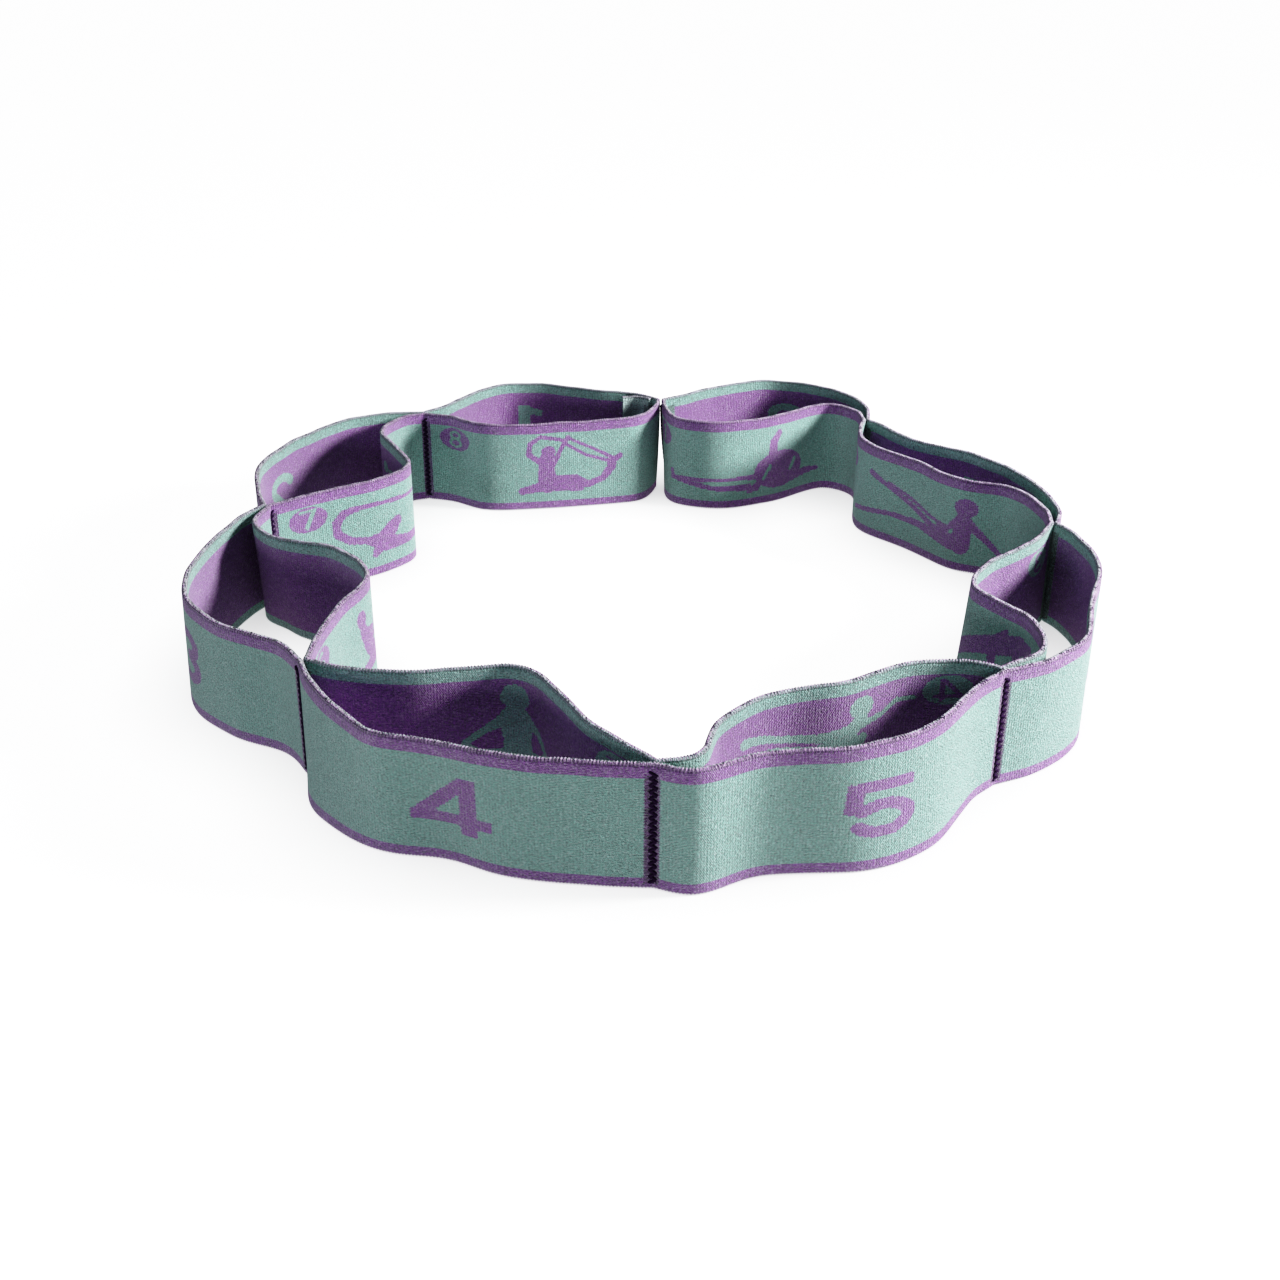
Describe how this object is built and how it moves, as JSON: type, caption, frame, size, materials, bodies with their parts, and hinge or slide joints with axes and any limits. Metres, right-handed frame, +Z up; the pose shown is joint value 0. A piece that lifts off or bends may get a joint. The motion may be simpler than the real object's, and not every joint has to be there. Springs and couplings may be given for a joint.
{
  "type": "stretching strap",
  "caption": "Double-layer elastic web strap sewn across into numbered hand and foot loops, standing on edge in a relaxed ring; it bends at the seams and stretches.",
  "frame": {"origin": "centre of the ring's footprint, on the floor that the web's lower edge stands on", "axes": "+Z up along the web's width, +Y away from the viewer of the picture towards the strap's two ends, +X to the right"},
  "size_m": [0.3139, 0.3578, 0.04],
  "materials": {
    "elastic_web": "woven jacquard elastic, teal outside with purple edges and motifs, colours reversed inside the loops",
    "stitching": "dark purple zigzag thread",
    "turned_in_web": "folded end of the same elastic web"
  },
  "bodies": {
    "loop_1a": {"outer_web_1a": "elastic_web", "inner_web_1a": "elastic_web", "end_seam_first": "stitching", "turned_in_end": "turned_in_web"},
    "loop_1b": {"outer_web_1b": "elastic_web", "inner_web_1b": "elastic_web"},
    "loop_2a": {"outer_web_2a": "elastic_web", "inner_web_2a": "elastic_web", "division_seam_1_2": "stitching"},
    "loop_2b": {"outer_web_2b": "elastic_web", "inner_web_2b": "elastic_web"},
    "loop_3a": {"outer_web_3a": "elastic_web", "inner_web_3a": "elastic_web", "division_seam_2_3": "stitching"},
    "loop_3b": {"outer_web_3b": "elastic_web", "inner_web_3b": "elastic_web"},
    "loop_4a": {"outer_web_4a": "elastic_web", "inner_web_4a": "elastic_web", "division_seam_3_4": "stitching"},
    "loop_4b": {"outer_web_4b": "elastic_web", "inner_web_4b": "elastic_web", "division_seam_4_5": "stitching"},
    "loop_5a": {"outer_web_5a": "elastic_web", "inner_web_5a": "elastic_web"},
    "loop_5b": {"outer_web_5b": "elastic_web", "inner_web_5b": "elastic_web", "division_seam_5_6": "stitching"},
    "loop_6a": {"outer_web_6a": "elastic_web", "inner_web_6a": "elastic_web"},
    "loop_6b": {"outer_web_6b": "elastic_web", "inner_web_6b": "elastic_web", "division_seam_6_7": "stitching"},
    "loop_7a": {"outer_web_7a": "elastic_web", "inner_web_7a": "elastic_web"},
    "loop_7b": {"outer_web_7b": "elastic_web", "inner_web_7b": "elastic_web", "division_seam_7_8": "stitching"},
    "loop_8a": {"outer_web_8a": "elastic_web", "inner_web_8a": "elastic_web"},
    "loop_8b": {"outer_web_8b": "elastic_web", "inner_web_8b": "elastic_web", "end_seam_last": "stitching"}
  },
  "joints": [
    {"name": "stretch_loop_4", "type": "slide", "parent": "loop_4b", "child": "loop_4a", "axis": [-0.8738, 0.4863, 0], "range_m": [0, 0.03], "stiffness_N_per_m": 1200},
    {"name": "bend_seam_3_4", "type": "hinge", "parent": "loop_4a", "child": "loop_3b", "pos_m": [-0.105, -0.115, 0.02], "axis": [0, 0, 1], "range_deg": [0, 44]},
    {"name": "stretch_loop_3", "type": "slide", "parent": "loop_3b", "child": "loop_3a", "axis": [-0.2915, 0.9566, 0], "range_m": [0, 0.0331], "stiffness_N_per_m": 1200},
    {"name": "bend_seam_2_3", "type": "hinge", "parent": "loop_3a", "child": "loop_2b", "pos_m": [-0.144, 0.013, 0.02], "axis": [0, 0, 1], "range_deg": [0, 38]},
    {"name": "stretch_loop_2", "type": "slide", "parent": "loop_2b", "child": "loop_2a", "axis": [0.37, 0.929, 0], "range_m": [0, 0.0301], "stiffness_N_per_m": 1200},
    {"name": "bend_seam_1_2", "type": "hinge", "parent": "loop_2a", "child": "loop_1b", "pos_m": [-0.099, 0.126, 0.02], "axis": [0, 0, 1], "range_deg": [0, 56]},
    {"name": "stretch_loop_1", "type": "slide", "parent": "loop_1b", "child": "loop_1a", "axis": [0.9791, 0.2032, 0], "range_m": [0, 0.0256], "stiffness_N_per_m": 1200},
    {"name": "bend_seam_4_5", "type": "hinge", "parent": "loop_4b", "child": "loop_5a", "pos_m": [0.001, -0.174, 0.02], "axis": [0, 0, -1], "range_deg": [0, 57]},
    {"name": "stretch_loop_5", "type": "slide", "parent": "loop_5a", "child": "loop_5b", "axis": [0.8824, 0.4706, 0], "range_m": [0, 0.0295], "stiffness_N_per_m": 1200},
    {"name": "bend_seam_5_6", "type": "hinge", "parent": "loop_5b", "child": "loop_6a", "pos_m": [0.106, -0.118, 0.02], "axis": [0, 0, -1], "range_deg": [0, 41]},
    {"name": "stretch_loop_6", "type": "slide", "parent": "loop_6a", "child": "loop_6b", "axis": [0.3424, 0.9396, 0], "range_m": [0, 0.0311], "stiffness_N_per_m": 1200},
    {"name": "bend_seam_6_7", "type": "hinge", "parent": "loop_6b", "child": "loop_7a", "pos_m": [0.149, 0, 0.02], "axis": [0, 0, -1], "range_deg": [0, 44]},
    {"name": "stretch_loop_7", "type": "slide", "parent": "loop_7a", "child": "loop_7b", "axis": [-0.4104, 0.9119, 0], "range_m": [0, 0.0326], "stiffness_N_per_m": 1200},
    {"name": "bend_seam_7_8", "type": "hinge", "parent": "loop_7b", "child": "loop_8a", "pos_m": [0.095, 0.12, 0.02], "axis": [0, 0, -1], "range_deg": [0, 48]},
    {"name": "stretch_loop_8", "type": "slide", "parent": "loop_8a", "child": "loop_8b", "axis": [-0.9545, 0.2983, 0], "range_m": [0, 0.0224], "stiffness_N_per_m": 1200}
  ],
  "couplings": [
    {"joint": "stretch_loop_3", "follows": "stretch_loop_4", "ratio": 1.103},
    {"joint": "stretch_loop_2", "follows": "stretch_loop_4", "ratio": 1.003},
    {"joint": "stretch_loop_1", "follows": "stretch_loop_4", "ratio": 0.852},
    {"joint": "stretch_loop_5", "follows": "stretch_loop_4", "ratio": 0.981},
    {"joint": "stretch_loop_6", "follows": "stretch_loop_4", "ratio": 1.035},
    {"joint": "stretch_loop_7", "follows": "stretch_loop_4", "ratio": 1.085},
    {"joint": "stretch_loop_8", "follows": "stretch_loop_4", "ratio": 0.746}
  ]
}
